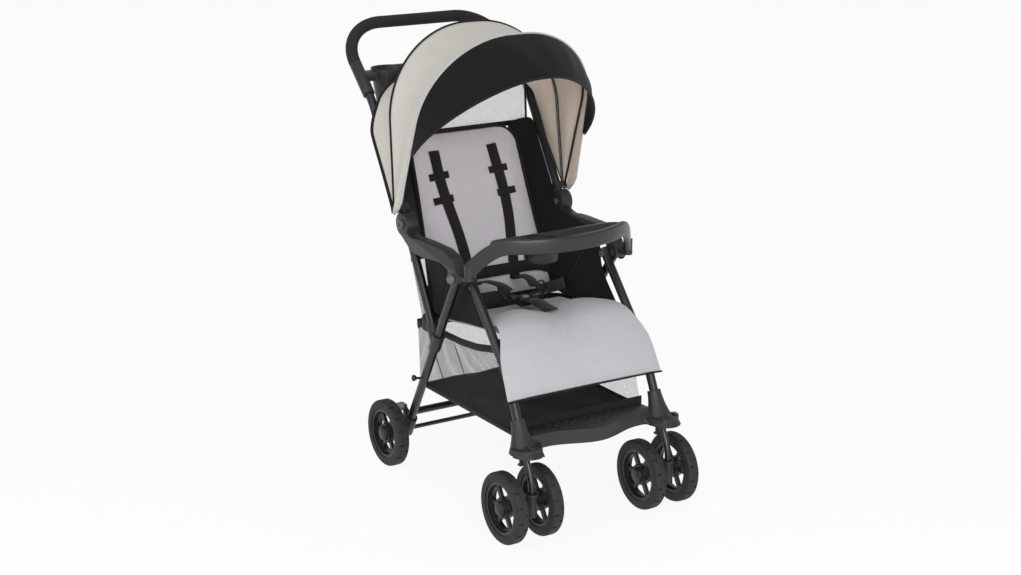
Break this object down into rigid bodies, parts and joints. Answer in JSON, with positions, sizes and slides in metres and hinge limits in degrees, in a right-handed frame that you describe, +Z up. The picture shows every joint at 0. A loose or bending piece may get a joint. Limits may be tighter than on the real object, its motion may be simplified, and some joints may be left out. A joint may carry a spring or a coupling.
{
  "type": "stroller",
  "caption": "Lightweight folding stroller with one push handle, a sun canopy, a reclining padded seat, child and parent trays, a basket and twin front casters.",
  "frame": {"origin": "middle of the footprint's bounding box, on the floor", "axes": "the child faces -Y, +X is the child's left, +Z is up"},
  "size_m": [0.4608, 0.8086, 0.9951],
  "materials": {
    "frame_black": "satin black powder coat",
    "steel": "bare steel",
    "bolt_grey": "grey caps over steel bolts",
    "charcoal": "satin charcoal moulding",
    "rim_black": "black moulding",
    "tyre": "matte black",
    "foam": "black foam",
    "pedal_grey": "mid grey moulding",
    "buckle_black": "black moulding",
    "button": "grey moulding",
    "seat_grey": "pale grey woven",
    "canopy_pale": "pale grey woven",
    "black_fabric": "black woven",
    "basket_mesh": "grey mesh"
  },
  "bodies": {
    "chassis": {"rear_leg_left": "frame_black", "rear_leg_right": "frame_black", "lower_push_tubes": "frame_black", "leg_brackets": "charcoal", "armrest_left": "charcoal", "armrest_right": "charcoal", "pivot_bolts": "bolt_grey", "hinge_bolts": "bolt_grey", "rear_crossbar": "frame_black", "rear_axle": "steel", "wheel_housing_left": "charcoal", "wheel_housing_right": "charcoal", "recline_rod": "steel", "seat_base": "seat_grey", "seat_wings": "black_fabric", "basket": "basket_mesh", "buckle": "buckle_black", "lap_belt": "black_fabric"},
    "front_frame": {"front_leg_left": "frame_black", "front_leg_right": "frame_black", "footrest": "charcoal", "seat_front_bar": "frame_black", "swivel_posts": "steel", "calf_panel": "seat_grey"},
    "handle_frame": {"push_handle": "frame_black", "foam_grip": "foam", "parent_tray": "charcoal", "canopy_clips": "charcoal", "canopy_rear_panel": "canopy_pale"},
    "canopy_mid": {"canopy_mid_bow": "steel", "canopy_front_panel": "canopy_pale"},
    "canopy_front": {"canopy_front_bow": "steel", "canopy_visor": "black_fabric"},
    "seat_back": {"seat_back_board": "buckle_black", "seat_back_pad": "seat_grey", "shoulder_straps": "black_fabric"},
    "child_tray": {"child_tray": "charcoal"},
    "fold_trigger": {"fold_trigger": "pedal_grey"},
    "buckle_button": {"buckle_button": "button"},
    "caster_left": {"caster_fork_left": "charcoal", "front_axle_left": "steel"},
    "front_wheel_left_outer": {"front_rim_left_outer": "rim_black", "front_tyre_left_outer": "tyre"},
    "front_wheel_left_inner": {"front_rim_left_inner": "rim_black", "front_tyre_left_inner": "tyre"},
    "rear_wheel_left": {"rear_rim_left": "rim_black", "rear_tyre_left": "tyre"},
    "brake_left": {"brake_pedal_left": "pedal_grey"},
    "swivel_lock_left": {"swivel_lock_left": "charcoal"},
    "caster_right": {"caster_fork_right": "charcoal", "front_axle_right": "steel"},
    "front_wheel_right_outer": {"front_rim_right_outer": "rim_black", "front_tyre_right_outer": "tyre"},
    "front_wheel_right_inner": {"front_rim_right_inner": "rim_black", "front_tyre_right_inner": "tyre"},
    "rear_wheel_right": {"rear_rim_right": "rim_black", "rear_tyre_right": "tyre"},
    "brake_right": {"brake_pedal_right": "pedal_grey"},
    "swivel_lock_right": {"swivel_lock_right": "charcoal"}
  },
  "joints": [
    {"name": "handle_fold", "type": "hinge", "parent": "chassis", "child": "handle_frame", "pos_m": [0, 0.092, 0.582], "axis": [-1, 0, 0], "range_deg": [0, 108], "deforming": ["calf_panel", "seat_wings", "basket"]},
    {"name": "leg_fold", "type": "hinge", "parent": "chassis", "child": "front_frame", "pos_m": [0, -0.122, 0.511], "axis": [1, 0, 0], "range_deg": [0, 36]},
    {"name": "canopy_fold", "type": "hinge", "parent": "handle_frame", "child": "canopy_mid", "pos_m": [0, 0.1106, 0.61282], "axis": [-1, 0, 0], "range_deg": [0, 20], "deforming": ["canopy_rear_panel", "canopy_front_panel"]},
    {"name": "canopy_front_fold", "type": "hinge", "parent": "canopy_mid", "child": "canopy_front", "pos_m": [0, 0.1106, 0.61282], "axis": [-1, 0, 0], "range_deg": [0, 20]},
    {"name": "seat_recline", "type": "hinge", "parent": "chassis", "child": "seat_back", "pos_m": [0, 0.058, 0.365], "axis": [-1, 0, 0], "range_deg": [0, 30]},
    {"name": "tray_swing", "type": "hinge", "parent": "chassis", "child": "child_tray", "pos_m": [0.2, -0.166, 0.531], "axis": [0, 0, 1], "range_deg": [0, 100]},
    {"name": "trigger_squeeze", "type": "slide", "parent": "handle_frame", "child": "fold_trigger", "axis": [0, 0, 1], "range_m": [0, 0.008], "stiffness_N_per_m": 400, "springref_m": -0.004},
    {"name": "buckle_press", "type": "slide", "parent": "chassis", "child": "buckle_button", "axis": [0, 0, -1], "range_m": [0, 0.0028], "stiffness_N_per_m": 900, "springref_m": -0.002},
    {"name": "caster_swivel_left", "type": "hinge", "parent": "front_frame", "child": "caster_left", "pos_m": [0.172, -0.362, 0.076], "axis": [0, 0, 1], "continuous": true},
    {"name": "front_wheel_roll_left_outer", "type": "hinge", "parent": "caster_left", "child": "front_wheel_left_outer", "pos_m": [0.2145, -0.327, 0.076], "axis": [1, 0, 0], "continuous": true},
    {"name": "front_wheel_roll_left_inner", "type": "hinge", "parent": "caster_left", "child": "front_wheel_left_inner", "pos_m": [0.1295, -0.327, 0.076], "axis": [1, 0, 0], "continuous": true},
    {"name": "rear_wheel_roll_left", "type": "hinge", "parent": "chassis", "child": "rear_wheel_left", "pos_m": [0.206, 0.183, 0.076], "axis": [1, 0, 0], "continuous": true},
    {"name": "brake_press_left", "type": "hinge", "parent": "chassis", "child": "brake_left", "pos_m": [0.166, 0.197, 0.122], "axis": [-1, 0, 0], "range_deg": [0, 22]},
    {"name": "swivel_lock_flip_left", "type": "hinge", "parent": "front_frame", "child": "swivel_lock_left", "pos_m": [0.172, -0.32596, 0.184], "axis": [1, 0, 0], "range_deg": [0, 25]},
    {"name": "caster_swivel_right", "type": "hinge", "parent": "front_frame", "child": "caster_right", "pos_m": [-0.172, -0.362, 0.076], "axis": [0, 0, 1], "continuous": true},
    {"name": "front_wheel_roll_right_outer", "type": "hinge", "parent": "caster_right", "child": "front_wheel_right_outer", "pos_m": [-0.2145, -0.327, 0.076], "axis": [1, 0, 0], "continuous": true},
    {"name": "front_wheel_roll_right_inner", "type": "hinge", "parent": "caster_right", "child": "front_wheel_right_inner", "pos_m": [-0.1295, -0.327, 0.076], "axis": [1, 0, 0], "continuous": true},
    {"name": "rear_wheel_roll_right", "type": "hinge", "parent": "chassis", "child": "rear_wheel_right", "pos_m": [-0.206, 0.183, 0.076], "axis": [1, 0, 0], "continuous": true},
    {"name": "brake_press_right", "type": "hinge", "parent": "chassis", "child": "brake_right", "pos_m": [-0.166, 0.197, 0.122], "axis": [-1, 0, 0], "range_deg": [0, 22]},
    {"name": "swivel_lock_flip_right", "type": "hinge", "parent": "front_frame", "child": "swivel_lock_right", "pos_m": [-0.172, -0.32596, 0.184], "axis": [1, 0, 0], "range_deg": [0, 25]}
  ],
  "couplings": [
    {"joint": "leg_fold", "follows": "handle_fold", "ratio": 0.33333},
    {"joint": "canopy_front_fold", "follows": "canopy_fold", "ratio": 1}
  ]
}
